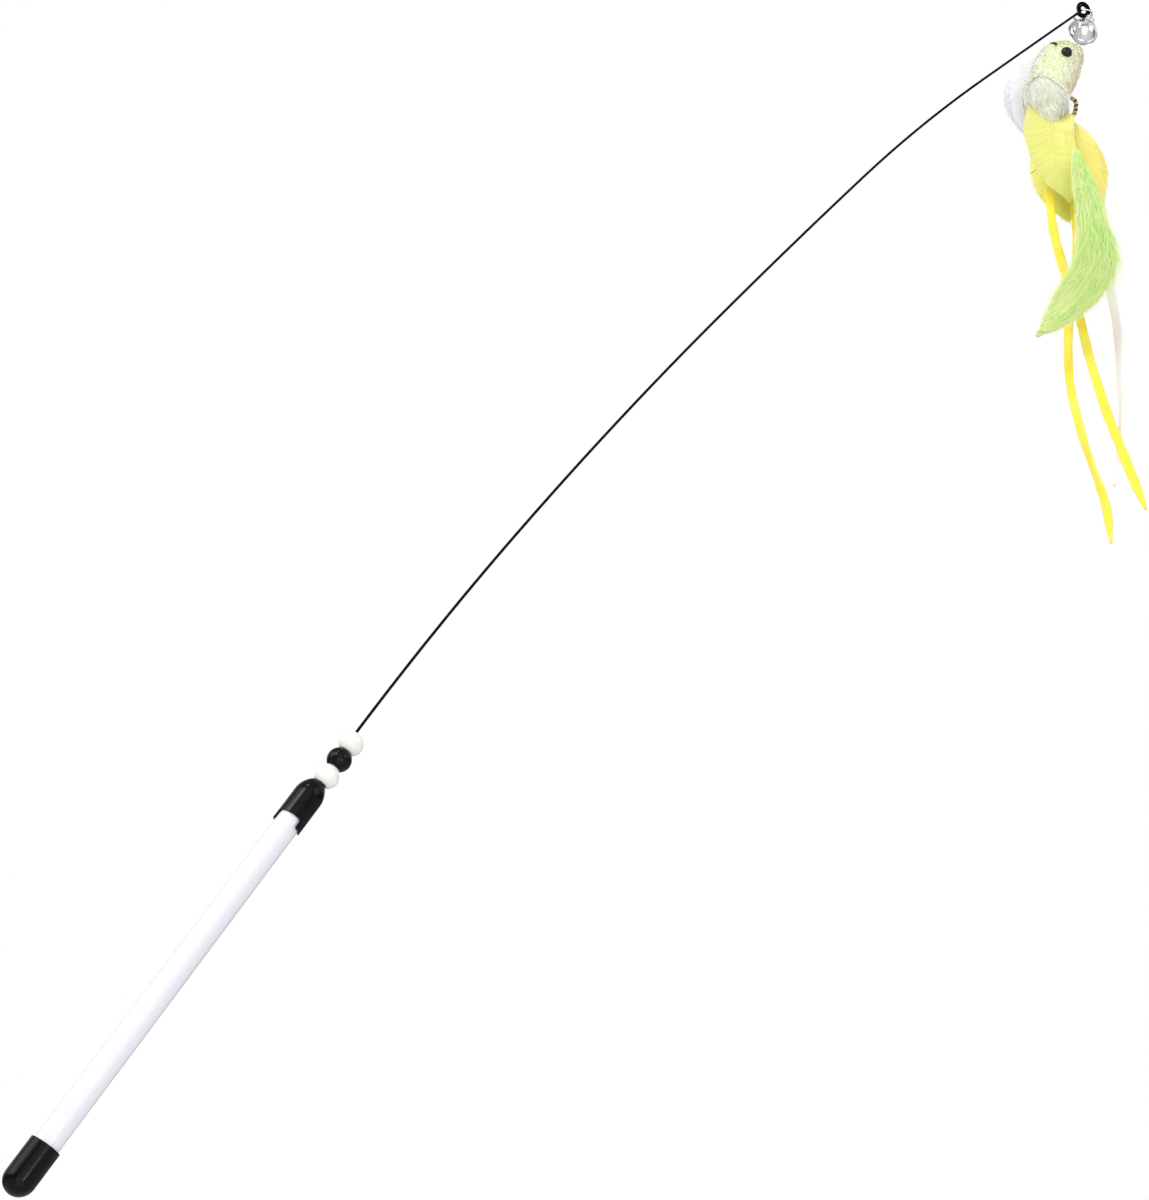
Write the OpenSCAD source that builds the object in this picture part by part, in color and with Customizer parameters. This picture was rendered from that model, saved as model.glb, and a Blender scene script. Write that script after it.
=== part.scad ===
// Cat teaser wand, held at its handle with the toy hanging from the tip.
// Lengths are millimetres. X points to the tip's side, Z is up, and the wand lies in the XZ plane.
// The origin is the middle of the handle, on its axis.

/* [Handle] */
// Length of the handle from cap end to cap end
handle_l = 182; // [150:1:240]
// Angle of the handle above level
handle_tilt = 59.1; // [45:0.1:75]
// Outer diameter of the handle tube
tube_d = 10; // [9:0.5:13]
// Wall of the handle tube
tube_wall = 1; // [0.8:0.1:1.4]

/* [Caps] */
// Wall of the two push-on caps
cap_wall = 0.9; // [0.7:0.1:1.4]
// Length of the bottom cap with its dome
bottom_cap_l = 19.5; // [16:1:30]
// Length of the top cap with its side tabs
top_cap_l = 21; // [18:1:28]
// Length of the rounded shoulder of the top cap
shoulder_l = 7; // [5:0.5:8]
// Diameter of the flat end of the top cap
top_flat_d = 6; // [4:0.5:7]
// Depth of the two scoops in the mouth of the top cap
scoop_h = 3.5; // [2:0.5:5]

/* [Beads] */
// Diameter of each bead
bead_d = 9.8; // [8:0.2:12]
// Length of each bead between its flat ends
bead_l = 8; // [6.5:0.1:8.2]
// Bore of each bead
bead_bore = 4; // [3.6:0.1:4.6]

/* [Wire] */
// Diameter of the coated wire
wire_d = 1.2; // [1:0.1:1.5]
// Diameter of the steel core
core_d = 0.8; // [0.5:0.1:0.8]
// Length of the wire from the handle's beads to its eye
wire_l = 530; // [400:1:700]
// Angle that the wire bends down over its length
wire_droop = 17.2; // [8:0.2:30]
// Hole of the eye that the wire's end is wound into
eye_hole = 3.4; // [3:0.1:4]

/* [Ring and bell] */
// Diameter of the ring between the middles of its wire
ring_d = 8.8; // [8:0.1:10]
// Thickness of the ring's wire
ring_wire = 0.8; // [0.6:0.1:0.9]
// Diameter of the bell's ball
bell_d = 13.2; // [11:0.2:14]
// Thickness of the bell's sheet
bell_wall = 0.5; // [0.4:0.05:0.7]
// How far the bell's rim stands out
bell_rim = 0.9; // [0.6:0.1:1.2]
// Width of the slots in the bell
slot_w = 1.2; // [0.8:0.1:1.6]

/* [Toy] */
// Length of the toy's plush body
body_l = 56; // [48:1:66]
// Thickness of the toy's plush body
body_t = 24; // [20:1:28]
// Diameter of the toy's bead eyes
eye_d = 5.4; // [4:0.2:6]
// Length of the feathers under the body
feather_l = 60; // [50:1:70]
// Width of the widest feather
feather_w = 23; // [16:1:26]
// Thickness of a feather
feather_t = 1; // [0.8:0.1:1.2]
// Length of the plume
plume_l = 110; // [90:1:125]
// Width of the plume
plume_w = 18; // [12:1:20]
// Width of the yellow strips
strip_w = 4; // [3:0.2:5]
// Thickness of the strips
strip_t = 1.3; // [1:0.1:1.6]

/* [Hidden] */

// Colours of the real finishes
black = "#141416";
tube_white = "#f1f0f4";
milk = "#efe9dd";
silver = "#c9ccd2";
steel = "#8d9095";
plush_green = "#e3efb4";
plush_cream = "#eff2da";
white_down = "#f1eef4";
light_yellow = "#f2ee62";
deep_yellow = "#ecd95a";
olive_yellow = "#cfd24e";
lime = "#b4ef8c";
gold = "#8a7440";
strip_yellow = "#f3de25";
strip_white = "#f0e6e0";

// Fits between pieces: a push fit, a running gap and the overrun of every cut
push_fit = 0.05;
run_gap = 0.2;
over = 1;

// Handle
tube_r = tube_d / 2;
bore_r = tube_r - tube_wall;
cap_r = tube_r + cap_wall;
handle_end = handle_l / 2;
tube_z0 = -handle_end + cap_r;
tube_z1 = handle_end - shoulder_l;
// The shoulder is an arc that is tangent to the cap's side and ends at the flat
shoulder_in = cap_r - top_flat_d / 2;
shoulder_r = (shoulder_l * shoulder_l + shoulder_in * shoulder_in) / (2 * shoulder_in);
wire_r = wire_d / 2;
core_r = core_d / 2;
core_fit = 0.02;

// Anchor inside the handle
plug_l = 12;
plug_r = bore_r - push_fit;
crimp_l = 5;
crimp_r = 1.3;
crimp_wall = crimp_r - wire_r - push_fit;
tail_l = 2;
anchor_z0 = tube_z1 - plug_l;
wire_z0 = anchor_z0 - crimp_l - tail_l;

// Beads, which hang a little off the wire's axis
bead_sag = bead_bore / 2 - wire_r - run_gap;
bead_pitch = bead_l + run_gap;
function bead_z(i) = handle_end + run_gap + bead_l / 2 + i * bead_pitch;
wire_z1 = bead_z(2) + bead_l / 2 - run_gap;

// The wire is a run of arcs, each a share of its length and of its bend
arc_shares = [0.13, 0.08, 0.28, 0.21, 0.17, 0.13];
turn_shares = [0.14, 0.09, 0.23, 0.09, 0.43, 0.02];
function sum_to(v, n) = n <= 0 ? 0 : v[n - 1] + sum_to(v, n - 1);
function dir(a) = [cos(a), 0, sin(a)];
function arc_l(i) = wire_l * arc_shares[i];
function arc_turn(i) = wire_droop * turn_shares[i];
function arc_head(i) = handle_tilt - wire_droop * sum_to(turn_shares, i);
function arc_r(i) = arc_l(i) * 180 / (PI * arc_turn(i));
function arc_start(i) = i == 0 ? wire_z1 * dir(handle_tilt)
    : arc_start(i - 1)
        + 2 * arc_r(i - 1) * sin(arc_turn(i - 1) / 2) * dir(arc_head(i - 1) - arc_turn(i - 1) / 2);
last_arc = len(arc_shares) - 1;
wire_end = arc_start(last_arc + 1);
end_head = arc_head(last_arc + 1);
// A moving stretch ends in a ball, and the stretch before it stops short by this much
wire_trim = wire_r + run_gap;
// The core starts this far inside a moving stretch
core_in = wire_r + run_gap;
// Points along the wire's arcs, and the ring of points round each
arc_steps = 8;
wire_sides = 12;
function arc_point(i, s) = arc_start(i)
    + 2 * arc_r(i) * sin(arc_turn(i) * s / 2) * dir(arc_head(i) - arc_turn(i) * s / 2);
function wire_path(first, last, skip, trim) = concat(
    [for (i = [first : last], k = [0 : arc_steps - 1])
        arc_point(i, i == first && k == 0 ? skip / arc_l(i) : k / arc_steps)],
    [arc_point(last, 1 - trim / arc_l(last))]);
base_path = concat([wire_z0 * dir(handle_tilt), anchor_z0 * dir(handle_tilt), handle_end * dir(handle_tilt)],
    wire_path(0, 0, 0, wire_trim));

// The eye: a neck, then two flat turns made of four half circles
turn_pitch = wire_d + 0.04;
turn_step = turn_pitch / 2;
inner_turn_r = (eye_hole + wire_d - turn_step) / 2;
function turn_r(k) = inner_turn_r + (3 - k) * turn_step;
neck_r = 1.6;
neck_l = sqrt(turn_r(0) * turn_r(0) + 2 * neck_r * turn_r(0));
neck_out = atan2(neck_r, neck_l);
eye_mid = wire_end + neck_l * dir(end_head);
// The whole eye is rolled about the wire's end, so that it faces a little downward
eye_roll = 30;
eye_side = cos(eye_roll) * dir(end_head + 90) - sin(eye_roll) * [0, 1, 0];
function rolled(p) = wire_end + ((p - wire_end) * dir(end_head)) * dir(end_head)
    + ((p - wire_end) * dir(end_head + 90)) * eye_side;
eye_start = end_head + 180 + neck_out;
function turn_mid(k) = eye_mid + (k % 2 == 0 ? 0 : 1) * turn_step * dir(eye_start + 180);
hole_shift = 0.35;
hole_mid = rolled(eye_mid + turn_step / 2 * dir(eye_start + 180) + hole_shift * dir(eye_start + 90));

// The ring hangs in the eye, with its right side to the front
function unit(v) = v / norm(v);
ring_r = ring_d / 2;
ring_wire_r = ring_wire / 2;
ring_down = unit([-0.19, 0.05, -0.98]);
ring_side = unit(cross(cross(ring_down, unit([0.93, -0.36, 0])), ring_down));
ring_mid = hole_mid + ring_r * ring_down;
ring_slit = 4;
function ring_at(a) = ring_mid + ring_r * (sin(a) * ring_side + cos(a) * ring_down);
function ring_tangent(a) = cos(a) * ring_side - sin(a) * ring_down;

// The bell is held by its loop at the right of the ring
bell_r = bell_d / 2;
bell_at = 63;
bell_axis = unit([0.19, -0.98, -0.05]);
loop_wire_r = 0.35;
loop_r = ring_wire_r + loop_wire_r + 1.35;
bell_cross = unit(ring_tangent(bell_at) - (ring_tangent(bell_at) * bell_axis) * bell_axis);
loop_sink = 0.3;
loop_mid = ring_at(bell_at) - (loop_r - loop_wire_r - ring_wire_r - run_gap) * bell_axis;
bell_mid = loop_mid - (loop_r + bell_r - loop_sink) * bell_axis;
rim_t = bell_wall;
rim_gap = 0.04;
slot_end_d = 2 * slot_w;
slot_reach = bell_r * 0.78;
pellet_r = 1.6;

// The toy hangs by a wire loop at the left of the ring's lowest point
toy_at = -42;
nose = ring_at(toy_at) + body_l * [-0.033, 0.026, -0.313];
toy_dir = unit(nose - ring_at(toy_at));
toy_cross = unit(ring_tangent(toy_at) - (ring_tangent(toy_at) * toy_dir) * toy_dir);
link_r = 1.3;
link_sink = 3;
link_lean = norm(cross(ring_tangent(toy_at), toy_dir));
link_top = ring_at(toy_at) + (link_r - (loop_wire_r + ring_wire_r + run_gap) / link_lean) * toy_dir;
link_l = norm(nose - link_top) + link_sink;

// Plush body: rings from the nose down, each [x, z, half width] as shares of the body's length
body_shares = [[0.02, 0.01, 0.015], [0, -0.02, 0.06], [-0.055, -0.08, 0.13], [-0.125, -0.145, 0.185],
    [-0.19, -0.215, 0.21], [-0.24, -0.315, 0.21], [-0.275, -0.42, 0.205], [-0.3, -0.53, 0.215],
    [-0.315, -0.655, 0.22], [-0.32, -0.77, 0.19], [-0.32, -0.86, 0.13], [-0.32, -0.91, 0.04]];
neck_ring = 8;
body_half_share = 0.22;
tuft_flare = 0.7;
function body_mid(i) = nose + body_l * [body_shares[i][0], 0, body_shares[i][1]];
function body_half(i) = body_l * body_shares[i][2];
function on_body(s) = [body_l * s[0], body_t * s[1], body_l * s[2]];
tuft_end = body_mid(len(body_shares) - 1);
head_mid = body_mid(4);
left_eye_shares = [0.02, -0.455, -0.06];
right_eye_shares = [-0.068, -0.345, 0.054];

// Feathers: root, bend and tip, from the tuft's end, as shares of the feathers' length
root_in = 0.07;
front_places = [[-0.02, -0.05, root_in], [-0.21, -0.18, -0.4], [0.02, -0.14, -0.93]];
back_places = [[-0.02, 0.05, root_in], [-0.1, 0.18, -0.43], [0.02, 0.13, -0.97]];
side_places = [[0.04, -0.02, root_in], [0.28, -0.04, -0.42], [0.1, 0.02, -1.12]];
far_places = [[0.03, 0.11, root_in], [0.32, 0.24, -0.5], [0.12, 0.19, -1.02]];
front_widths_share = [0.06, 0.5, 0.84, 0.97, 1, 1, 0.98, 0.94, 0.86, 0.55];
long_widths_share = [0.05, 0.3, 0.55, 0.74, 0.86, 0.88, 0.8, 0.62, 0.36, 0.03];
white_widths_share = [0.05, 0.4, 0.7, 0.86, 0.94, 0.94, 0.86, 0.68, 0.42, 0.03];
narrow_share = 0.82;
cup_share = 0.1;
// The white feather lies behind the body's left flank, as shares of the body's length
white_places = [[-0.14, 0.12, -0.06], [-0.62, 0.3, -0.12], [-0.47, 0.25, -0.84]];

// Plume: [x, y, z] of its middle from the tuft's end, and its half width, as shares
plume_shares = [[0.05, -0.075, -0.01, 0.03], [0.052, -0.1, -0.12, 0.035], [0.05, -0.11, -0.24, 0.05],
    [0.045, -0.12, -0.36, 0.1], [0.035, -0.13, -0.48, 0.22], [0.035, -0.13, -0.6, 0.32],
    [0.038, -0.13, -0.72, 0.4], [0.035, -0.13, -0.84, 0.5], [0.01, -0.13, -0.96, 0.56],
    [-0.045, -0.13, -1.07, 0.56], [-0.12, -0.13, -1.17, 0.44], [-0.2, -0.13, -1.26, 0.24],
    [-0.25, -0.13, -1.31, 0.03]];
plume_thick_share = 0.45;

// Routes of the strips from the tuft's end, and how far each is turned about its own line
left_route = [[-2.5, 0, -3], [-6.5, 0, -24], [-8, 0, -44], [-9.5, 0, -70], [-7.5, 0, -99], [-5, 0, -118],
    [-3.5, 0, -147], [-0.5, 0, -176], [2, 0, -191], [5, 0, -209], [8.5, 0, -228]];
left_turns = [0, 5, 10, 15, 20, 20, 20, 15, 35, 20, 10];
right_route = [[0, 2, -3], [1.5, 3, -24], [3.5, 3, -44], [0.5, 3, -81], [-6, 3, -105], [-9, 3, -123],
    [-13, 3, -156], [-12, 3, -184], [-9.5, 3, -205], [-7, 3, -223], [-7.5, 3, -243]];
right_turns = [0, 10, 20, 15, 10, 30, 40, 55, 75, 50, 30];
white_route = [[4.5, 3.5, -4], [7.5, 4, -26], [12.5, 4, -52], [15, 4, -79], [13, 4, -101], [12.5, 4, -127],
    [9.5, 4, -157], [6.5, 4, -178], [-1.5, 4, -213]];
white_turns = [0, 0, 10, 10, 20, 40, 65, 80, 85];
strip_sides = 8;
strip_steps = 3;

// Twisted cord down the right of the tuft, from the tuft's end, as shares of the body's sizes
cord_shares = [[0.215, 0.233, 0.4], [0.245, 0.187, 0.33], [0.235, 0.187, 0.24], [0.2, 0.163, 0.15],
    [0.14, 0.117, 0.07]];
cord_r = 1.1;

// A frame whose X, Y and Z axes are given, for multmatrix
function place(o, x, y, z) = [[x[0], y[0], z[0], o[0]], [x[1], y[1], z[1], o[1]],
    [x[2], y[2], z[2], o[2]], [0, 0, 0, 1]];

// Puts pieces that are drawn along Z onto the handle's axis
module on_handle() {
    rotate([0, 90 - handle_tilt, 0]) children();
}

// A closed skin over rings of points that run along a path, or round to the first ring again
module skin(rings, round = false) {
    n = len(rings[0]);
    m = len(rings);
    sides = [for (i = [0 : round ? m - 1 : m - 2], j = [0 : n - 1]) let (k = (i + 1) % m)
        each [[i * n + j, k * n + (j + 1) % n, i * n + (j + 1) % n],
            [i * n + j, k * n + j, k * n + (j + 1) % n]]];
    first = [for (j = [1 : n - 2]) [0, j, j + 1]];
    last = [for (j = [1 : n - 2]) [(m - 1) * n, (m - 1) * n + j + 1, (m - 1) * n + j]];
    polyhedron([for (r = rings) each r], round ? sides : concat(first, sides, last));
}

// Rings round a path, and a round rod of flat sides over them
function rings_along(p, r, n) = [for (i = [0 : len(p) - 1]) let (t = along(p, i), u = unit(cross([0, 1, 0], t)))
    oval(p[i], u, cross(t, u), r, r, n)];
function reversed(v) = [for (i = [len(v) - 1 : -1 : 0]) v[i]];

module rod_along(p, rod_r, n) {
    skin(rings_along(p, rod_r, n));
}

function oval(mid, u, v, a, b, n) =
    [for (k = [0 : n - 1]) mid + a * cos(360 * k / n) * u + b * sin(360 * k / n) * v];
function along(p, i) = unit(p[min(i + 1, len(p) - 1)] - p[max(i - 1, 0)]);
function bezier(p, s) = (1 - s) * (1 - s) * p[0] + 2 * s * (1 - s) * p[1] + s * s * p[2];
// A point of a smooth curve through a route
function curve(p, i, s) = let (a = p[max(i - 1, 0)], b = p[i], c = p[i + 1], d = p[min(i + 2, len(p) - 1)])
    b + (c - a) * s / 2 + (2 * a - 5 * b + 4 * c - d) * s * s / 2 + (3 * b - a - 3 * c + d) * s * s * s / 2;
function smooth(p, k) = concat([for (i = [0 : len(p) - 2], j = [0 : k - 1]) curve(p, i, j / k)], [p[len(p) - 1]]);

// Handle
module handle_tube() {
    color(tube_white) on_handle() translate([0, 0, tube_z0]) difference() {
        cylinder(r = tube_r, h = tube_z1 - tube_z0, $fn = 96);
        translate([0, 0, -over]) cylinder(r = bore_r, h = tube_z1 - tube_z0 + 2 * over, $fn = 96);
    }
}

module bottom_cap() {
    color(black) on_handle() difference() {
        union() {
            translate([0, 0, tube_z0]) cylinder(r = cap_r, h = bottom_cap_l - cap_r, $fn = 96);
            translate([0, 0, tube_z0]) sphere(cap_r, $fn = 96);
        }
        translate([0, 0, tube_z0]) cylinder(r = tube_r + push_fit, h = bottom_cap_l, $fn = 96);
        translate([0, 0, tube_z0]) sphere(tube_r - push_fit, $fn = 96);
    }
}

// Half outline of the top cap or of the space in it
module cap_outline(side_r, arc, top, bottom) {
    translate([0, bottom]) square([side_r, tube_z1 - bottom]);
    intersection() {
        translate([0, tube_z1]) square([side_r, top - tube_z1]);
        translate([cap_r - shoulder_r, tube_z1]) circle(arc, $fn = 192);
    }
}

module scoop() {
    width = 0.8 * cap_r;
    corner = scoop_h / 3;
    mouth = handle_end - top_cap_l;
    translate([0, cap_r + over, mouth]) rotate([90, 0, 0]) linear_extrude(2 * (cap_r + over)) {
        translate([-width, -over]) square([2 * width, scoop_h - corner + over]);
        translate([corner - width, 0]) square([2 * (width - corner), scoop_h]);
        for (s = [-1, 1]) translate([s * (width - corner), scoop_h - corner]) circle(corner, $fn = 32);
    }
}

module top_cap() {
    color(black) on_handle() difference() {
        rotate_extrude($fn = 96) cap_outline(cap_r, shoulder_r, handle_end, handle_end - top_cap_l);
        rotate_extrude($fn = 96) cap_outline(tube_r + push_fit, shoulder_r - cap_wall - push_fit,
            handle_end - cap_wall, handle_end - top_cap_l - over);
        translate([0, 0, tube_z1]) cylinder(r = wire_r + push_fit, h = shoulder_l + over, $fn = 32);
        scoop();
    }
}

module anchor_plug() {
    color(milk) on_handle() translate([0, 0, anchor_z0]) difference() {
        cylinder(r = plug_r, h = plug_l, $fn = 64);
        translate([0, 0, -over]) cylinder(r = wire_r + push_fit, h = plug_l + 2 * over, $fn = 32);
    }
}

module wire_crimp() {
    color(steel) on_handle() translate([0, 0, anchor_z0 - crimp_l]) difference() {
        cylinder(r = crimp_r, h = crimp_l, $fn = 48);
        translate([0, 0, -over]) cylinder(r = crimp_r - crimp_wall, h = crimp_l + 2 * over, $fn = 32);
    }
}

// Wire: a fixed stretch, a stretch that dips and a stretch that sways
module wire_core_base() {
    color(steel) rod_along(base_path, core_r, wire_sides);
}

// A coat's skin runs out along its outer wall and back along its bore
module wire_coat_base() {
    color(black) skin(concat(rings_along(base_path, wire_r, wire_sides),
        reversed(rings_along(base_path, core_r + core_fit, wire_sides))), round = true);
}

module wire_core_bend() {
    color(steel) rod_along(wire_path(1, 1, core_in, wire_trim), core_r, wire_sides);
}

// A moving stretch of coat starts with the ball end that it turns about
module moving_coat(first, last, trim) {
    t = dir(arc_head(first));
    u = cross([0, 1, 0], t);
    ball = [for (a = [-80 : 20 : -20]) oval(arc_start(first) + wire_r * sin(a) * t, u, cross(t, u),
        wire_r * cos(a), wire_r * cos(a), wire_sides)];
    color(black) skin(concat(ball, rings_along(wire_path(first, last, 0, trim), wire_r, wire_sides),
        reversed(rings_along(wire_path(first, last, core_in, trim), core_r + core_fit, wire_sides))));
}

module wire_coat_bend() { moving_coat(1, 1, wire_trim); }

module wire_core_tip() {
    color(steel) rod_along(wire_path(2, last_arc, core_in, 0), core_r, wire_sides);
}

module wire_coat_tip() { moving_coat(2, last_arc, 0); }

// The eye's line: the neck curls one way, then the turns wind inwards the other way
eye_steps = 16;
eye_path = concat(
    [for (k = [0 : 4]) wire_end + neck_r * dir(end_head - 90)
        + neck_r * dir(end_head + 90 - (90 - neck_out) * k / 5)],
    [for (k = [0 : 3], j = [0 : eye_steps - 1]) turn_mid(k) + turn_r(k) * dir(eye_start + 180 * (k + j / eye_steps))],
    [turn_mid(3) + turn_r(3) * dir(eye_start)]);

module tip_eye() {
    color(black) rod_along([for (p = eye_path) rolled(p)], wire_r, wire_sides);
}

// Beads
module bead(i, shade) {
    color(shade) on_handle() translate([bead_sag, 0, bead_z(i)]) difference() {
        intersection() {
            sphere(bead_d / 2, $fn = 96);
            translate([0, 0, -bead_l / 2]) cylinder(r = bead_d, h = bead_l, $fn = 32);
        }
        translate([0, 0, -bead_l]) cylinder(r = bead_bore / 2, h = 2 * bead_l, $fn = 48);
    }
}

module lower_bead() { bead(0, milk); }
module middle_bead() { bead(1, black); }
module upper_bead() { bead(2, milk); }

// Ring
module jump_ring() {
    color(silver) multmatrix(place(ring_mid, ring_down, ring_side, cross(ring_down, ring_side)))
        rotate([0, 0, 180 + ring_slit]) rotate_extrude(angle = 360 - ring_slit, $fn = 96)
            translate([ring_r, 0]) circle(ring_wire_r, $fn = 32);
}

// Bell: two pressed shells that meet at a rim, a wire loop and a pellet
module at_bell() {
    multmatrix(place(bell_mid, bell_cross, cross(bell_axis, bell_cross), bell_axis)) children();
}

module half_shell(up) {
    low = up ? rim_gap / 2 : -bell_r - over;
    intersection() {
        difference() {
            union() {
                sphere(bell_r, $fn = 96);
                translate([0, 0, up ? rim_gap / 2 : -rim_gap / 2 - rim_t])
                    cylinder(r = bell_r + bell_rim, h = rim_t, $fn = 96);
            }
            sphere(bell_r - bell_wall, $fn = 96);
        }
        translate([0, 0, low]) cylinder(r = 2 * bell_r, h = bell_r + over - rim_gap / 2, $fn = 32);
    }
}

module bell_crown() {
    color(silver) at_bell() half_shell(true);
}

module bell_skirt() {
    color(silver) at_bell() difference() {
        half_shell(false);
        for (a = [45, 135]) rotate([0, 0, a]) {
            translate([-slot_reach, -slot_w / 2, -bell_r - over]) cube([2 * slot_reach, slot_w, bell_r]);
            for (s = [-1, 1]) translate([s * slot_reach, 0, -bell_r - over])
                cylinder(d = slot_end_d, h = bell_r, $fn = 32);
        }
    }
}

module bell_loop() {
    color(silver) at_bell() translate([0, 0, bell_r + loop_r - loop_sink]) rotate([0, 90, 0])
        rotate_extrude($fn = 48) translate([loop_r, 0]) circle(loop_wire_r, $fn = 24);
}

module bell_pellet() {
    color(steel) translate(bell_mid + [0, 0, pellet_r + bell_wall + run_gap - bell_r])
        sphere(pellet_r, $fn = 48);
}

// A closed wire link from the ring into the nose
module toy_loop() {
    color(silver) multmatrix(place(link_top, toy_cross, cross(toy_dir, toy_cross), toy_dir)) {
        for (s = [-1, 1]) translate([0, s * link_r, 0]) cylinder(r = loop_wire_r, h = link_l, $fn = 24);
        rotate([0, 90, 0]) rotate([0, 0, -90]) rotate_extrude(angle = 180, $fn = 48)
            translate([link_r, 0]) circle(loop_wire_r, $fn = 24);
        translate([0, 0, link_l]) rotate([0, 90, 0]) rotate([0, 0, 90])
            rotate_extrude(angle = 180, $fn = 48) translate([link_r, 0]) circle(loop_wire_r, $fn = 24);
    }
}

// Plush body
function body_path() = [for (i = [0 : len(body_shares) - 1]) body_mid(i)];
function body_ring(i, grow) = let (t = along(body_path(), i), u = unit(cross([0, 1, 0], t)),
        h = body_half(i) + grow)
    oval(body_mid(i), u, [0, 1, 0], h, h * body_t / (2 * body_half_share * body_l), 20);

module plush_head() {
    color(plush_green) skin([for (i = [0 : neck_ring]) body_ring(i, 0)]);
}

module plush_tuft() {
    color(plush_cream) skin([for (i = [neck_ring : len(body_shares) - 1])
        body_ring(i, i == len(body_shares) - 1 ? 0 : tuft_flare)]);
}

// A bead eye, half sunk in the head, at shares of the body's length, thickness and length from head_mid
module eye_bead(shares) {
    color(black) difference() {
        translate(head_mid + on_body(shares)) sphere(eye_d / 2, $fn = 48);
        skin([for (i = [0 : neck_ring]) body_ring(i, push_fit)]);
    }
}

module left_eye() { eye_bead(left_eye_shares); }
module right_eye() { eye_bead(right_eye_shares); }

module neck_cord() {
    p = smooth([for (s = cord_shares) tuft_end + on_body(s)], 3);
    color(gold) rod_along(p, cord_r, 8);
}

// Feathers: a thin cupped vane along a bent shaft
function vane(mid, u, v, half, cup) = let (across = [-1, -0.5, 0, 0.5, 1], back = [0.5, 0, -0.5],
        face = function (t, side) mid + half * t * u
            + (cup * (1 - t * t) + side * feather_t / 2 * sqrt(1 - t * t)) * v)
    reversed(concat([for (t = across) face(t, 1)], [for (t = back) face(t, -1)]));

module feather(places, widths_share, width, cup) {
    m = len(widths_share) - 1;
    p = [for (i = [0 : m]) bezier(places, i / m)];
    skin([for (i = [0 : m]) let (t = along(p, i), u = unit(cross([0, 1, 0], t)), v = cross(t, u))
        vane(p[i], u, v, widths_share[i] * width / 2, cup * widths_share[i])]);
}

module white_feather() {
    color(white_down) difference() {
        feather([for (p = white_places) nose + body_l * p], white_widths_share,
            feather_w * narrow_share, -cup_share * feather_w);
        skin([for (i = [0 : len(body_shares) - 1]) body_ring(i, i > neck_ring - 1 ? tuft_flare : 0)]);
    }
}

module front_feather() {
    color(light_yellow) feather([for (p = front_places) tuft_end + feather_l * p],
        front_widths_share, feather_w, cup_share * feather_w);
}

module back_feather() {
    color(olive_yellow) feather([for (p = back_places) tuft_end + feather_l * p],
        long_widths_share, feather_w, -cup_share * feather_w);
}

module side_feather() {
    color(deep_yellow) feather([for (p = side_places) tuft_end + feather_l * p],
        long_widths_share, feather_w, -cup_share * feather_w / 2);
}

module far_feather() {
    color(light_yellow) feather([for (p = far_places) tuft_end + feather_l * p],
        long_widths_share, feather_w, -cup_share * feather_w);
}

module green_plume() {
    p = [for (s = plume_shares) tuft_end + plume_l * [s[0], s[1], s[2]]];
    color(lime) skin([for (i = [0 : len(p) - 1]) let (t = along(p, i), u = unit(cross([0, 1, 0], t)),
        h = plume_w * plume_shares[i][3]) oval(p[i], u, cross(t, u), h, h * plume_thick_share, 14)]);
}

// A flat strip along its route, turned about its own line, with a pointed end
module strip(route, turns, width) {
    p = smooth([for (q = route) tuft_end + q], strip_steps);
    a = smooth(turns, strip_steps);
    m = len(p) - 1;
    skin([for (i = [0 : m]) let (t = along(p, i), u = unit(cross([0, 1, 0], t)), v = cross(t, u),
            end = min(1, 0.12 + (m - i) * 0.3), c = cos(a[i]), s = sin(a[i]))
        oval(p[i], c * u + s * v, c * v - s * u, width / 2 * end, strip_t / 2, strip_sides)]);
}

module left_strip() { color(strip_yellow) strip(left_route, left_turns, strip_w); }
module right_strip() { color(strip_yellow) strip(right_route, right_turns, strip_w); }
module white_strip() { color(strip_white) strip(white_route, white_turns, strip_w); }

handle_tube();
bottom_cap();
top_cap();
anchor_plug();
wire_crimp();
wire_core_base();
wire_coat_base();
wire_core_bend();
wire_coat_bend();
wire_core_tip();
wire_coat_tip();
tip_eye();
lower_bead();
middle_bead();
upper_bead();
jump_ring();
bell_crown();
bell_skirt();
bell_loop();
bell_pellet();
toy_loop();
plush_head();
plush_tuft();
left_eye();
right_eye();
neck_cord();
white_feather();
front_feather();
back_feather();
side_feather();
far_feather();
green_plume();
left_strip();
right_strip();
white_strip();
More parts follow.
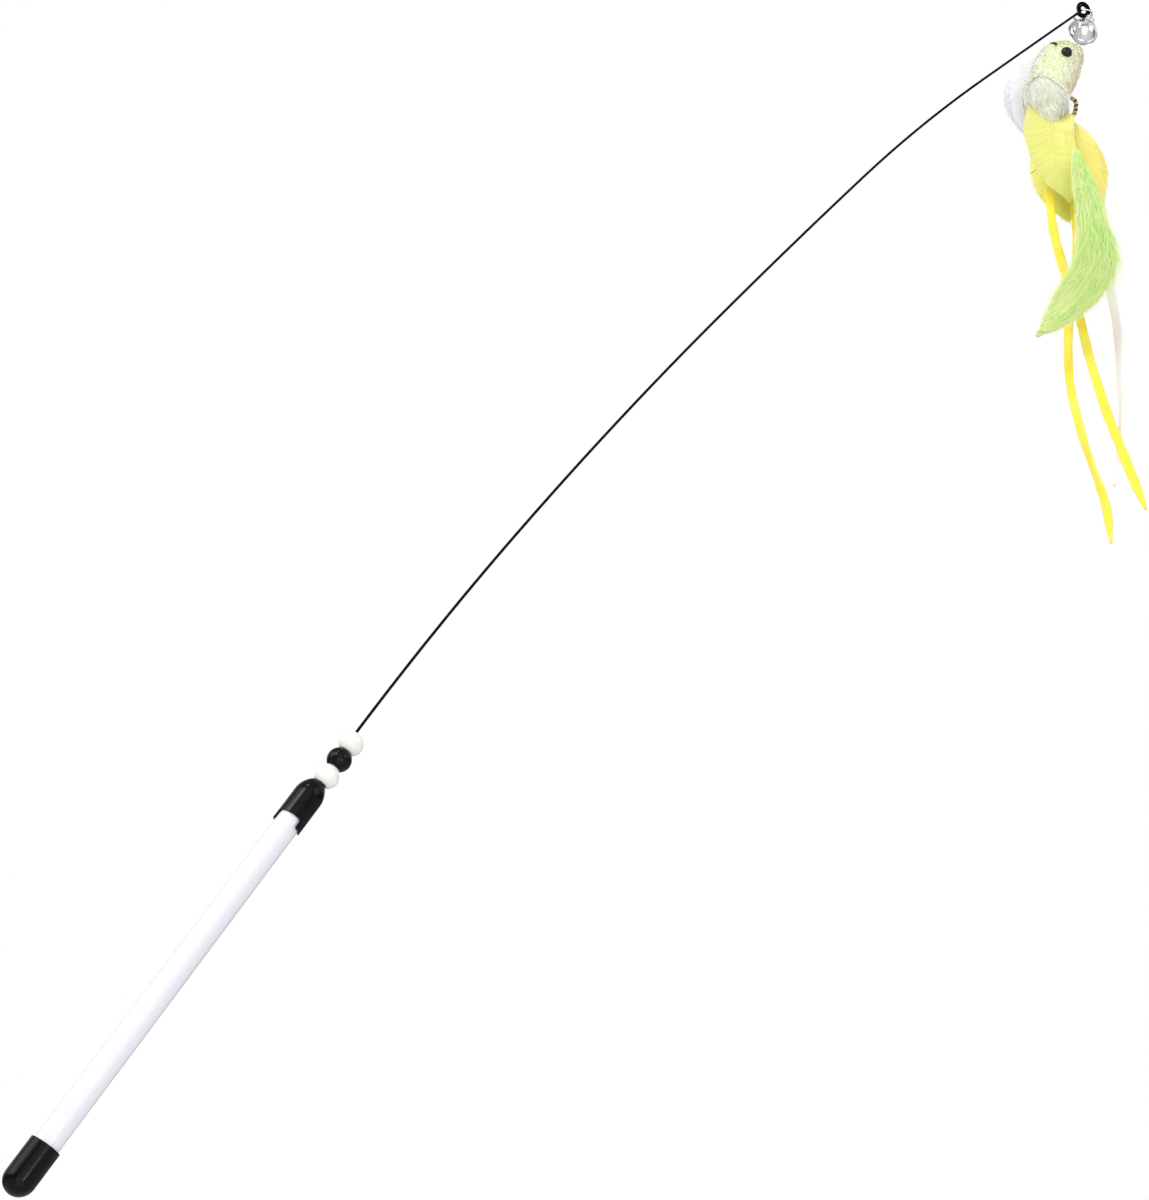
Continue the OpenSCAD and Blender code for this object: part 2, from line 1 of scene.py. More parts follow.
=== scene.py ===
# Looks of the cat teaser wand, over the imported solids. Lengths are in millimetres, and in metres for the
# camera, the lamps, the lumps of the stuffing and the materials' bumps.
import bpy
import math
import numpy as np
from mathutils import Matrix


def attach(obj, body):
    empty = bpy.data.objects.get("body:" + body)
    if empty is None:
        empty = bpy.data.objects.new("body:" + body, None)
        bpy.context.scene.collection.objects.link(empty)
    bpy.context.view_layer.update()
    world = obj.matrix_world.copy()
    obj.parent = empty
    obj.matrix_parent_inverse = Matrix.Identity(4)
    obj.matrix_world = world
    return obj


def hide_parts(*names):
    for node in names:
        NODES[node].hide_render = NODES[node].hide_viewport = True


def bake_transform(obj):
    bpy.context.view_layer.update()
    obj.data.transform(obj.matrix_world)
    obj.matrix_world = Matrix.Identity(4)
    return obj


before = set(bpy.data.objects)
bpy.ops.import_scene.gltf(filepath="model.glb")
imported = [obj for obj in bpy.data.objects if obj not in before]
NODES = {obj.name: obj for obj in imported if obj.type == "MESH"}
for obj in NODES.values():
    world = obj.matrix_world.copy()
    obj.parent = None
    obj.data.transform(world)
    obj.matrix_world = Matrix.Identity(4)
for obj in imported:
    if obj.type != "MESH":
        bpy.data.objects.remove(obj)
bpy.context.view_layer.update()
rng = np.random.default_rng(11)


def v(*a):
    return np.array(a, float)


def unit(a):
    a = np.asarray(a, float)
    return a / np.linalg.norm(a, axis=-1, keepdims=True)


# Camera, at the photograph's place in metres, low in front and looking up
LOOK_UP = 33
camera = bpy.data.objects.new("camera", bpy.data.cameras.new("camera"))
bpy.context.collection.objects.link(camera)
camera.location = (0.14412, -0.67513, -0.27743)
camera.rotation_euler = (math.radians(90 + LOOK_UP), 0, 0)
camera.data.lens, camera.data.sensor_width, camera.data.sensor_fit = 60, 36, "AUTO"
camera.data.clip_start, camera.data.clip_end = 0.01, 50
bpy.context.scene.camera = camera
bpy.context.scene.view_settings.view_transform = "Standard"


# Materials
def material(name, tones, rough, scale, grain, bump, depth, own=0.0, **sockets):
    """Colour from a ramp over noise of this scale, or by the share own from the mesh's tone.

    The finer noise, grain, goes into the roughness and into a bump of this strength and depth.
    """
    m = bpy.data.materials.new(name)
    m.use_nodes = True
    n, link = m.node_tree.nodes, m.node_tree.links.new
    b = n["Principled BSDF"]
    place = n.new("ShaderNodeTexCoord")

    def noise(size, detail):
        t = n.new("ShaderNodeTexNoise")
        t.inputs["Scale"].default_value = size
        t.inputs["Detail"].default_value = detail
        link(place.outputs["Object"], t.inputs["Vector"])
        return t.outputs["Fac"]

    patch, fine = noise(scale, 5), noise(grain, 3)
    value = patch
    if own:
        tone = n.new("ShaderNodeAttribute")
        tone.attribute_name = "tone"
        mix = n.new("ShaderNodeMix")
        mix.data_type = "FLOAT"
        mix.inputs[0].default_value = own
        link(patch, mix.inputs[2])
        link(tone.outputs["Fac"], mix.inputs[3])
        value = mix.outputs[0]
    ramp = n.new("ShaderNodeValToRGB")
    e = ramp.color_ramp.elements
    while len(e) < len(tones):
        e.new(0.5)
    for k, (at, c) in enumerate(tones):
        e[k].position, e[k].color = at, (*c, 1)
    link(value, ramp.inputs["Fac"])
    link(ramp.outputs["Color"], b.inputs["Base Color"])
    spread = n.new("ShaderNodeMapRange")
    spread.inputs["To Min"].default_value, spread.inputs["To Max"].default_value = rough
    link(fine, spread.inputs["Value"])
    link(spread.outputs["Result"], b.inputs["Roughness"])
    relief = n.new("ShaderNodeBump")
    relief.inputs["Strength"].default_value, relief.inputs["Distance"].default_value = bump, depth
    link(fine, relief.inputs["Height"])
    link(relief.outputs["Normal"], b.inputs["Normal"])
    for k, x in sockets.items():
        b.inputs[k.replace("_", " ")].default_value = x
    return m


def near(c, d):
    """Two ramp colours a little apart from one colour."""
    dark = tuple(max(0, x * (1 - d)) for x in c)
    light = tuple(min(1, x * (1 + d)) for x in c)
    return [(0.3, dark), (0.7, light)]


# By name: colour ramp, least and most roughness, noise scale, grain scale, bump strength and depth
M = {
    "tube": material("tube_plastic", near((0.77, 0.765, 0.83), 0.015), (0.24, 0.32), 20, 300, 0.01, 0.00002,
                     Coat_Weight=0.3, Coat_Roughness=0.12),
    "cap": material("cap_plastic", near((0.004, 0.004, 0.005), 0.3), (0.16, 0.26), 60, 500, 0.02, 0.00002,
                    Specular_IOR_Level=0.1, Coat_Weight=0.12, Coat_Roughness=0.08),
    "plug": material("plug_plastic", near((0.8, 0.77, 0.7), 0.05), (0.45, 0.6), 120, 700, 0.05, 0.00005),
    "steel": material("core_steel", near((0.5, 0.51, 0.53), 0.1), (0.25, 0.4), 300, 1500, 0.05, 0.00005,
                      Metallic=1.0),
    "wire": material("wire_coat", near((0.003, 0.003, 0.004), 0.35), (0.36, 0.5), 120, 900, 0.05, 0.00003,
                     Specular_IOR_Level=0.05),
    "milk": material("milk_bead",
                     [(0.25, (0.80, 0.74, 0.69)), (0.5, (0.84, 0.82, 0.77)), (0.8, (0.88, 0.88, 0.84))],
                     (0.1, 0.18), 110, 500, 0.01, 0.00002, Coat_Weight=0.5, Coat_Roughness=0.05),
    "jet": material("black_bead", near((0.005, 0.005, 0.007), 0.4), (0.05, 0.1), 100, 500, 0.01, 0.00002,
                    Specular_IOR_Level=0.14),
    "silver": material("silver_wire", near((0.74, 0.74, 0.76), 0.06), (0.1, 0.2), 200, 900, 0.03, 0.00003,
                       Metallic=1.0),
    # the bell's lavender and pink patches are partly the sheet's own tint and partly painted reflection
    "bell": material("bell_sheet",
                     [(0.25, (0.80, 0.76, 0.80)), (0.5, (0.86, 0.84, 0.88)), (0.75, (0.88, 0.82, 0.82))],
                     (0.16, 0.28), 90, 500, 0.04, 0.00005, Metallic=1.0),
    # the tan end of the head's ramp is the throat's colour and also the painted shade under the bib's edge
    "head": material("green_plush",
                     [(0.05, (0.94, 0.94, 0.97)), (0.3, (0.90, 0.95, 0.76)), (0.5, (0.86, 0.94, 0.62)),
                      (0.72, (0.95, 0.92, 0.78)), (0.98, (0.80, 0.70, 0.44))],
                     (0.8, 0.95), 60, 1800, 0.3, 0.0003, own=0.9, Sheen_Weight=0.3, Sheen_Roughness=0.5),
    "tuft": material("cream_plush",
                     [(0.02, (0.80, 0.84, 0.60)), (0.3, (0.92, 0.95, 0.76)), (0.6, (0.97, 0.98, 0.86)),
                      (0.95, (0.99, 0.99, 0.95))],
                     (0.8, 0.95), 50, 1800, 0.3, 0.0003, own=0.9, Sheen_Weight=0.3, Sheen_Roughness=0.5),
    "pupil": material("eye_plastic", near((0.008, 0.008, 0.008), 0.3), (0.1, 0.18), 120, 600, 0.02, 0.00003,
                      Specular_IOR_Level=0.32),
    "gold": material("gold_cord", near((0.62, 0.46, 0.2), 0.25), (0.3, 0.5), 400, 3000, 0.3, 0.0001,
                     Metallic=0.5),
    "dark": material("dark_cord", near((0.02, 0.016, 0.02), 0.4), (0.5, 0.7), 400, 3000, 0.3, 0.0001),
    "down": material("white_down",
                     [(0.1, (0.70, 0.66, 0.68)), (0.5, (0.77, 0.75, 0.78)), (0.9, (0.86, 0.85, 0.90))],
                     (0.65, 0.8), 60, 2000, 0.1, 0.0001, own=0.6, Sheen_Weight=0.2),
    "pale": material("pale_yellow_feather",
                     [(0.1, (0.60, 0.74, 0.14)), (0.45, (0.68, 0.69, 0.15)), (0.85, (0.84, 0.79, 0.26))],
                     (0.5, 0.68), 40, 2000, 0.1, 0.0001, own=0.7, Sheen_Weight=0.2),
    "olive": material("olive_feather",
                      [(0.1, (0.74, 0.80, 0.12)), (0.5, (0.86, 0.86, 0.2)), (0.9, (0.95, 0.93, 0.4))],
                      (0.5, 0.68), 40, 2000, 0.1, 0.0001, own=0.7, Sheen_Weight=0.2),
    "deep": material("deep_yellow_feather",
                     [(0.1, (0.74, 0.60, 0.10)), (0.5, (0.80, 0.70, 0.14)), (0.9, (0.88, 0.82, 0.30))],
                     (0.5, 0.68), 40, 2000, 0.1, 0.0001, own=0.7, Sheen_Weight=0.2),
    "lime": material("lime_plume",
                     [(0.05, (0.50, 0.87, 0.20)), (0.35, (0.70, 0.93, 0.32)), (0.65, (0.84, 0.92, 0.42)),
                      (0.98, (0.95, 0.93, 0.68))],
                     (0.7, 0.85), 40, 2000, 0.1, 0.0001, own=0.8, Sheen_Weight=0.3),
    "lace": material("yellow_strip",
                     [(0.2, (0.84, 0.62, 0.02)), (0.5, (0.89, 0.73, 0.04)), (0.8, (0.92, 0.82, 0.1))],
                     (0.55, 0.75), 90, 2500, 0.3, 0.0002, Sheen_Weight=0.2),
    "pale_lace": material("white_strip_cloth", near((0.93, 0.87, 0.86), 0.03), (0.6, 0.8),
                          90, 2500, 0.3, 0.0002, Sheen_Weight=0.3),
    "floor": material("floor", near((0.9, 0.9, 0.9), 0.01), (0.7, 0.8), 6, 60, 0.02, 0.001),
}


# Meshes
def mesh(name, points, faces, mat, tone=None, smooth=True):
    """A new object from points in millimetres; tone is a number per point for its material's ramp."""
    if isinstance(faces, np.ndarray):
        faces = faces.tolist()
    me = bpy.data.meshes.new(name)
    me.from_pydata((np.asarray(points) * 0.001).tolist(), [], faces)
    me.polygons.foreach_set("use_smooth", [smooth] * len(me.polygons))
    if tone is not None:
        me.attributes.new("tone", "FLOAT", "POINT").data.foreach_set("value", np.asarray(tone, np.float32))
    me.materials.append(mat)
    me.update()
    o = bpy.data.objects.new(name, me)
    bpy.context.collection.objects.link(o)
    return o


def loft(name, rings, mat, tone=None):
    """A skin over rings of equal length, with its ends closed."""
    n, m = len(rings[0]), len(rings)
    i, j = np.meshgrid(np.arange(m - 1), np.arange(n), indexing="ij")
    k = (j + 1) % n
    faces = np.stack([i * n + j, i * n + k, (i + 1) * n + k, (i + 1) * n + j], -1).reshape(-1, 4).tolist()
    faces += [list(range(n - 1, -1, -1)), list(range((m - 1) * n, m * n))]
    return mesh(name, np.concatenate(rings), faces, mat, tone)


def frames(p):
    """Direction along a line, with u and w square to it; u starts square to Y."""
    t = unit(np.gradient(p, axis=0))
    u = unit(np.cross(v(0, 1, 0), t))
    return t, u, np.cross(t, u)


def tube(name, p, r, mat, sides, tone=None):
    """A round skin of radius r, one number or one for each point, along the line p."""
    t, u, w = frames(p)
    a = np.linspace(0, 2 * math.pi, sides, endpoint=False)
    r = np.broadcast_to(np.asarray(r, float), len(p))
    rings = [p[i] + r[i] * (np.cos(a)[:, None] * u[i] + np.sin(a)[:, None] * w[i]) for i in range(len(p))]
    return loft(name, rings, mat, None if tone is None else np.full(len(p) * sides, tone))


def ribbons(name, lines, half, side, tone, mat):
    """Flat strands: lines is (strand, point, xyz), half their half widths, side the way they are wide."""
    n, k = lines.shape[:2]
    side = np.broadcast_to(side if side.ndim == 3 else side[:, None, :], lines.shape)
    pts = np.stack([lines - half[..., None] * side, lines + half[..., None] * side], 2).reshape(-1, 3)
    base = (np.arange(n)[:, None] * k + np.arange(k - 1)) * 2
    quads = np.stack([base, base + 1, base + 3, base + 2], -1).reshape(-1, 4)
    return mesh(name, pts, quads, mat, np.repeat(np.broadcast_to(tone, (n, k)).reshape(-1), 2))


def smooth_line(p, steps):
    """A smooth line through a route, as the source draws it."""
    p = np.asarray(p, float)
    one = p.ndim == 1
    p = p[:, None] if one else p
    out = []
    for i in range(len(p) - 1):
        a, b, c, d = p[max(i - 1, 0)], p[i], p[i + 1], p[min(i + 2, len(p) - 1)]
        for s in np.arange(steps) / steps:
            bow = (2 * a - 5 * b + 4 * c - d) * s ** 2 / 2
            twist = (3 * b - a - 3 * c + d) * s ** 3 / 2
            out.append(b + (c - a) * s / 2 + bow + twist)
    out = np.array(out + [p[-1]])
    return out[:, 0] if one else out


def dress(piece, body, slot, *nodes):
    """Hides the solids that a piece stands for, and ties the piece to the body that it rides on. slot is not
    used.
    """
    if nodes:
        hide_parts(*nodes)
    if body:
        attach(piece, body)
    return piece


def paint(mat, *nodes):
    """Gives solids a finish and leaves their shape."""
    for k in nodes:
        NODES[k].data.materials.clear()
        NODES[k].data.materials.append(M[mat])


# Sizes and places of the source, repeated here: the handle's tilt, the wire's droop (degrees), length and
# radius, the free wire's shares of length and of bending, and where the toy's nose and tuft end are
TILT, DROOP, WIRE_L, WIRE_R = 59.1, 17.2, 530.0, 0.6
ARCS = np.array([0.13, 0.08, 0.28, 0.21, 0.17, 0.13]) * WIRE_L
TURNS = np.array([0.14, 0.09, 0.23, 0.09, 0.43, 0.02]) * DROOP
NOSE = v(391.584, 3.016, 487.009)
TUFT_END = v(373.664, 3.016, 436.049)
BODY_L, BODY_T, FEATHER_L, FEATHER_W, PLUME_L, PLUME_W = 56, 24, 60, 23, 110, 18
STRIP_W, STRIP_T = 4.0, 1.3


def heading(a):
    """A direction in the wand's plane, by its angle over the level in degrees."""
    return v(math.cos(math.radians(a)), 0, math.sin(math.radians(a)))


# Strips: cords of flat lace that hang from under the tuft, each a route from there and its turn in degrees
ROUTES = {
    "left_strip": ([[-2.5, 0, -3], [-6.5, 0, -24], [-8, 0, -44], [-9.5, 0, -70], [-7.5, 0, -99],
                    [-5, 0, -118], [-3.5, 0, -147], [-0.5, 0, -176], [2, 0, -191], [5, 0, -209],
                    [8.5, 0, -228]],
                   [0, 5, 10, 15, 20, 20, 20, 15, 35, 20, 10]),
    "right_strip": ([[0, 2, -3], [1.5, 3, -24], [3.5, 3, -44], [0.5, 3, -81], [-6, 3, -105], [-9, 3, -123],
                     [-13, 3, -156], [-12, 3, -184], [-9.5, 3, -205], [-7, 3, -223], [-7.5, 3, -243]],
                    [0, 10, 20, 15, 10, 30, 40, 55, 75, 50, 30]),
    "white_strip": ([[4.5, 3.5, -4], [7.5, 4, -26], [12.5, 4, -52], [15, 4, -79], [13, 4, -101],
                     [12.5, 4, -127], [9.5, 4, -157], [6.5, 4, -178], [-1.5, 4, -213]],
                    [0, 0, 10, 10, 20, 40, 65, 80, 85]),
}
for name, (route, turns) in ROUTES.items():
    p = smooth_line(np.array(route) + TUFT_END, 10)
    turn = smooth_line(turns, 10)
    k = np.arange(len(p))
    # it narrows at its far end, and its width wavers a little
    end = np.minimum(1, 0.25 + (len(p) - 1 - k) * 0.12)
    wave = 1 + 0.04 * np.sin(k * 0.9) + 0.03 * np.sin(k * 0.37 + 1)
    t, u, w = frames(p)
    c, s = np.cos(np.radians(turn))[:, None], np.sin(np.radians(turn))[:, None]
    wide, thick = c * u + s * w, c * w - s * u
    # a lace's outline: flat faces, round edges and a slight hollow down the middle
    a = np.linspace(0, 2 * math.pi, 20, endpoint=False)
    x = np.sign(np.cos(a)) * np.abs(np.cos(a)) ** 0.6 * (STRIP_W / 2)
    y = np.sign(np.sin(a)) * np.abs(np.sin(a)) ** 0.7 * (STRIP_T / 2) * (0.82 + 0.18 * np.abs(np.cos(a)))
    rings = []
    for i in k:
        out = (x * end[i] * wave[i])[:, None] * wide[i]
        rings.append(p[i] + out + (y * (0.6 + 0.4 * end[i]))[:, None] * thick[i])
    white = name == "white_strip"
    o = loft(name + "_lace", rings, M["pale_lace" if white else "lace"])
    dress(o, "strips", "white_strip_cloth" if white else "yellow_strip", name)

# Wire: two lengths of coat that run across the two sprung places, and the eye. Its root is straight, from
# WIRE_FROM to WIRE_FREE along the handle's line
WIRE_FROM, WIRE_FREE, ARC_STEPS = 84, 115.4, 12
line = [heading(TILT) * WIRE_FROM, heading(TILT) * 100]
starts = []
head, at = TILT, heading(TILT) * WIRE_FREE
for arc, bend in zip(ARCS, TURNS):
    starts.append((at, head))
    r = arc / math.radians(bend)
    for s in np.linspace(0, 1, ARC_STEPS, endpoint=False):
        line.append(at + 2 * r * math.sin(math.radians(bend * s / 2)) * heading(head - bend * s / 2))
    at = at + 2 * r * math.sin(math.radians(bend / 2)) * heading(head - bend / 2)
    head -= bend
line.append(at)
line = np.array(line)
wire_end, end_head = at, head
# the two lengths meet half way along the second arc
middle = 2 + ARC_STEPS + ARC_STEPS // 2
for name, part, a, b, (at, h), nodes in [
        ("coat_near", line[:middle + 1], "handle", "wire_bend", starts[1],
         ("wire_coat_base", "wire_coat_bend", "wire_core_base", "wire_core_bend")),
        ("coat_far", line[middle:], "wire_bend", "wire_tip", starts[2], ("wire_coat_tip", "wire_core_tip"))]:
    o = tube(name, part, WIRE_R, M["wire"], 20)
    dress(o, None, "wire_coat", *nodes)
    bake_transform(o)

# the eye: a short bend out of the wire, then two turns that shrink and lie side by side
STEP, NECK_R, EYE_ROLL, EYE_BORE = 0.62, 1.6, math.radians(30), 3.4
inner = (EYE_BORE + 2 * WIRE_R - STEP) / 2
rad = [inner + (3 - k) * STEP for k in range(4)]
neck_l = math.sqrt(rad[0] ** 2 + 2 * NECK_R * rad[0])
neck_out = math.degrees(math.atan2(NECK_R, neck_l))
eye_mid = wire_end + neck_l * heading(end_head)
eye_start = end_head + 180 + neck_out
neck_mid = wire_end + NECK_R * heading(end_head - 90)
path = [neck_mid + NECK_R * heading(end_head + 90 - (90 - neck_out) * k / 8) for k in range(8)]
for k in range(4):
    mid = eye_mid + (k % 2) * STEP * heading(eye_start + 180)
    path += [mid + rad[k] * heading(eye_start + 180 * (k + j / 20)) for j in range(20)]
path = np.array(path + [eye_mid + STEP * heading(eye_start + 180) + rad[3] * heading(eye_start)])
along, across = (path - wire_end) @ heading(end_head), (path - wire_end) @ heading(end_head + 90)
side = math.cos(EYE_ROLL) * heading(end_head + 90) - math.sin(EYE_ROLL) * v(0, 1, 0)
path = wire_end + along[:, None] * heading(end_head) + across[:, None] * side
dress(tube("eye_coil", path, WIRE_R, M["wire"], 20), "wire_tip", "wire_coat", "tip_eye")

# Rigid pieces keep their solids and get their finish
paint("tube", "handle_tube")
paint("cap", "bottom_cap", "top_cap")
paint("plug", "anchor_plug")
paint("steel", "wire_crimp", "bell_pellet")
paint("milk", "lower_bead", "upper_bead")
paint("jet", "middle_bead")
paint("silver", "jump_ring", "bell_loop", "toy_loop")
paint("bell", "bell_crown", "bell_skirt")
paint("pupil", "left_eye", "right_eye")

# Plush body: a head whose throat runs into a bib of longer hair, covered in pile. Its rows, in shares of
# the body's length, say how far along and down the middle is, and the half width across and in depth
BODY = v([0.02, 0.01, 0.015, 0.015], [0, -0.02, 0.06, 0.06], [-0.055, -0.08, 0.13, 0.13],
         [-0.125, -0.145, 0.185, 0.185], [-0.19, -0.215, 0.21, 0.21], [-0.24, -0.315, 0.21, 0.21],
         [-0.275, -0.42, 0.205, 0.205], [-0.324, -0.53, 0.191, 0.215], [-0.36, -0.655, 0.175, 0.22],
         [-0.345, -0.77, 0.15, 0.19], [-0.34, -0.86, 0.105, 0.13], [-0.33, -0.91, 0.04, 0.04])
# the body's thickness at which the table's depths hold as they are
BODY_AS_DRAWN = 24.64
RING = np.linspace(0, 2 * math.pi, 48, endpoint=False)
# the photograph's right and up at the toy, and the middle of the body there
ACROSS, UPWARD = unit(v(0.971, -0.155, -0.18)), v(0, -0.757, 0.653)
MIDDLE = NOSE + BODY_L * v(-0.275, 0, -0.42)


def body_rings(first, last, grow, closing, steps=8):
    """Rings from one row of the table to another, rounded off by the last few, (distance, share) each.

    grow adds to their radius, by the share of the way and the angle.
    """
    table = smooth_line(BODY, steps)[round(first * steps):round(last * steps) + 1]
    p = NOSE + BODY_L * np.stack([table[:, 0], 0 * table[:, 0], table[:, 1]], 1)
    t, u, w = frames(p)
    g = grow(np.linspace(0, 1, len(p))[:, None], RING[None])
    h, d = BODY_L * table[:, 2:3] + g, BODY_L * table[:, 3:4] * BODY_T / BODY_AS_DRAWN + g
    across, deep = (h * np.cos(RING))[..., None] * u[:, None], (d * np.sin(RING))[..., None] * v(0, 1, 0)
    rings = list(p[:, None] + across + deep)
    return rings + [p[-1] + t[-1] * k + (rings[-1] - p[-1]) * share for k, share in closing]


def lumps(o, size, amount):
    """Soft unevenness of stuffing under the cloth."""
    tex = bpy.data.textures.new(o.name + "_lumps", "CLOUDS")
    tex.noise_scale = size
    d = o.modifiers.new("lumps", "DISPLACE")
    d.texture, d.strength, d.mid_level, d.texture_coords = tex, amount, 0.5, "LOCAL"


def head_tone(p):
    """White on the far flank, lime over the cheeks, cream at the nose and tan down the throat, with painted
    shade on the throat along and under the bib's top edge.
    """
    a, b = (p - MIDDLE) @ ACROSS, (p - MIDDLE) @ UPWARD
    base = np.interp(a - 0.3 * b, [-15, -11, -7, 2, 9], [0.0, 0.15, 0.42, 0.52, 0.72])
    throat = 0.3 * np.clip((a - 4) / 6, 0, 1) * np.clip((5 - b) / 12, 0, 1)
    # painted shade: the throat turns towards tan along and under the bib's top edge, where the bib overhangs
    # it
    fold = 0.72 * (a + 1.8) + 0.69 * (b - 2.5)
    throat += 0.3 * np.exp(-np.clip(fold, 0, None) / 1.1) * np.clip((a + 3) / 3, 0, 1)
    return np.clip(base + throat + 0.04 * np.sin(a * 0.9 - b * 0.7) + 0.05 * np.sin(a * 5.1 + b * 1.9), 0, 1)


def tuft_tone(p):
    """Pale long hair in streaks, with green shadow in its creases."""
    a, b = (p - MIDDLE) @ ACROSS, (p - MIDDLE) @ UPWARD
    streak = 0.13 * np.sin(a * 3.3 + b * 1.3 + 1.5 * np.sin(b * 0.5)) + 0.1 * np.sin(a * 7.1 - b * 2.2)
    crease = 0.3 * np.exp(-((b + 4.6 + 0.25 * a) / 0.9) ** 2)
    crease = crease * np.clip((a + 11) / 3, 0, 1) * np.clip((2 - a) / 3, 0, 1)
    return np.clip(0.58 + 0.012 * (b + 14) + streak - crease + 0.06 * np.sin(a * 0.8 + b * 0.6), 0, 1)


def pile(name, o, count, length, flow, lift, width, mat, tint,
         droop=0.0, low=0.0, spread=0.22, where=None, turn=0.35):
    """Short strands all over a piece, combed along flow and lying near to the cloth.

    lift raises them off it, droop bends them to the flow, low lengthens those near the tuft's end, spread
    strays them, where picks the faces they grow on, and turn rolls the flat strands about their length.
    """
    deps = bpy.context.evaluated_depsgraph_get()
    me = o.evaluated_get(deps).to_mesh()
    me.calc_loop_triangles()
    co = np.array([x.co for x in me.vertices]) * 1000
    tri = np.array([x.vertices for x in me.loop_triangles])
    a, b, c = co[tri[:, 0]], co[tri[:, 1]], co[tri[:, 2]]
    square = np.cross(b - a, c - a)
    area = np.linalg.norm(square, axis=1)
    if where is not None:
        area = area * where((a + b + c) / 3)
    pick = rng.choice(len(tri), count, p=area / area.sum())
    r1, r2 = np.sqrt(rng.random(count)), rng.random(count)
    root = (1 - r1)[:, None] * a[pick] + (r1 * (1 - r2))[:, None] * b[pick] + (r1 * r2)[:, None] * c[pick]
    nrm = unit(square[pick])
    way = flow(root)
    down = way - (nrm * way).sum(1)[:, None] * nrm
    waves = np.stack([np.sin(root @ v(0.9, 1.3, 0.4) * k + k) for k in (1.0, 1.7, 0.6)], 1)
    stray = waves * 0.18 + rng.normal(0, spread, (count, 3))
    stray -= 0.75 * (stray * nrm).sum(1)[:, None] * nrm
    d = unit(nrm * lift + down + stray)
    near_end = np.clip((TUFT_END[2] + 14 - root[:, 2]) / 14, 0, 1)
    long = length * rng.uniform(0.65, 1.2, count) * (1 + low * near_end)
    s = np.linspace(0, 1, 4)[None, :, None]
    run = s * d[:, None, :] + droop * s ** 2 * way[:, None]
    lines = root[:, None, :] - 0.1 * nrm[:, None, :] + long[:, None, None] * run
    half = width / 2 * np.array([1, 0.9, 0.6, 0.08])[None] * rng.uniform(0.8, 1.2, count)[:, None]
    side = unit(np.cross(d, nrm + rng.normal(0, turn, (count, 3))))
    tone = (tint(root) + rng.normal(0, 0.09, count))[:, None] + np.array([-0.08, -0.02, 0.03, 0.08])[None]
    return ribbons(name, lines, half, side, np.clip(tone, 0, 1), mat)


def under_pile(s, a):
    """The head's cloth lies under the pile by its thickness."""
    return -0.7 + 0 * s * a


def bib_roll(s, a):
    """The bib leaves the head's surface high on the far side and lower towards the throat."""
    leave = 0.34 * (0.5 - 0.5 * np.cos(a))
    out = np.clip((s - leave) / 0.14, 0, 1)
    swell = 1.0 * np.sin(math.pi * np.clip((s - leave) / 0.66, 0, 1))
    return -1.7 + 1.15 * np.sin(0.5 * math.pi * out) + swell - 0.3 * s


rings = body_rings(0, 8.5, under_pile, [(0.9, 0.9), (1.6, 0.7), (2.0, 0.4)])
skull = loft("head_cloth", rings, M["head"], head_tone(np.concatenate(rings)))
lumps(skull, 0.008, 0.001)
rings = body_rings(6.9, 10.2, bib_roll, [(0.8, 0.9), (1.5, 0.7), (1.9, 0.4)])
skirt = loft("tuft_cloth", rings, M["tuft"], tuft_tone(np.concatenate(rings)))
lumps(skirt, 0.01, 0.0008)
dress(skull, "toy", "green_plush", "plush_head")
dress(skirt, "toy", "cream_plush", "plush_tuft")
# the bib's hair is combed to a point under the tuft
LOW_POINT = TUFT_END + v(-1, -6, -20)
o = pile("head_pile", skull, 24000, 1.5, lambda r: np.tile(unit(v(-0.3, 0, -1)), (len(r), 1)), 0.32, 0.26,
         M["head"], head_tone)
dress(o, "toy", "green_plush")
o = pile("tuft_pile", skirt, 15000, 4.2, lambda r: unit(LOW_POINT - r), 0.16, 0.2, M["tuft"], tuft_tone,
         droop=0.1, low=0.35, spread=0.18, turn=0.8)
dress(o, "toy", "cream_plush")
# fur that grows up over the lower part of the far eye
FAR_EYE = v(377.136, -5.264, 477.993)


def below_eye(c):
    """Which places lie close to the far eye and under its middle."""
    return (np.linalg.norm(c - FAR_EYE, axis=1) < 4.6) & ((c - FAR_EYE) @ UPWARD < -0.6)


o = pile("brow_pile", skull, 700, 2.6, lambda r: unit(FAR_EYE + 1.2 * UPWARD - r), 0.7, 0.24,
         M["head"], head_tone, where=below_eye)
dress(o, "toy", "green_plush")

# Neck cord: a gold and a dark strand twisted together, each turn TWIST long
CORD = v([0.215, 0.233, 0.4], [0.245, 0.187, 0.33], [0.235, 0.187, 0.24], [0.2, 0.163, 0.15],
         [0.14, 0.117, 0.07])
TWIST, STRAND_R = 3.4, 0.58
p = smooth_line(TUFT_END + v(BODY_L, BODY_T, BODY_L) * CORD, 14)
t, u, w = frames(p)
turn = np.cumsum(np.r_[0, np.linalg.norm(np.diff(p, axis=0), axis=1)]) / TWIST * 2 * math.pi
for k, mat in enumerate(["gold", "dark"]):
    q = p + 0.55 * (np.cos(turn + k * math.pi)[:, None] * u + np.sin(turn + k * math.pi)[:, None] * w)
    o = tube("cord_" + mat, q, STRAND_R, M[mat], 10)
    dress(o, "toy", "gold_cord", *(["neck_cord"] if k == 0 else []))


# Feathers
SHAFT_POINTS = 60


def along_shaft(arr, x):
    """Values of arr, one for each shaft point, at shares x of the way."""
    x = np.clip(x, 0, 1) * (SHAFT_POINTS - 1)
    i = np.minimum(x.astype(int), SHAFT_POINTS - 2)
    f = (x - i)[..., None]
    return arr[i] * (1 - f) + arr[i + 1] * f


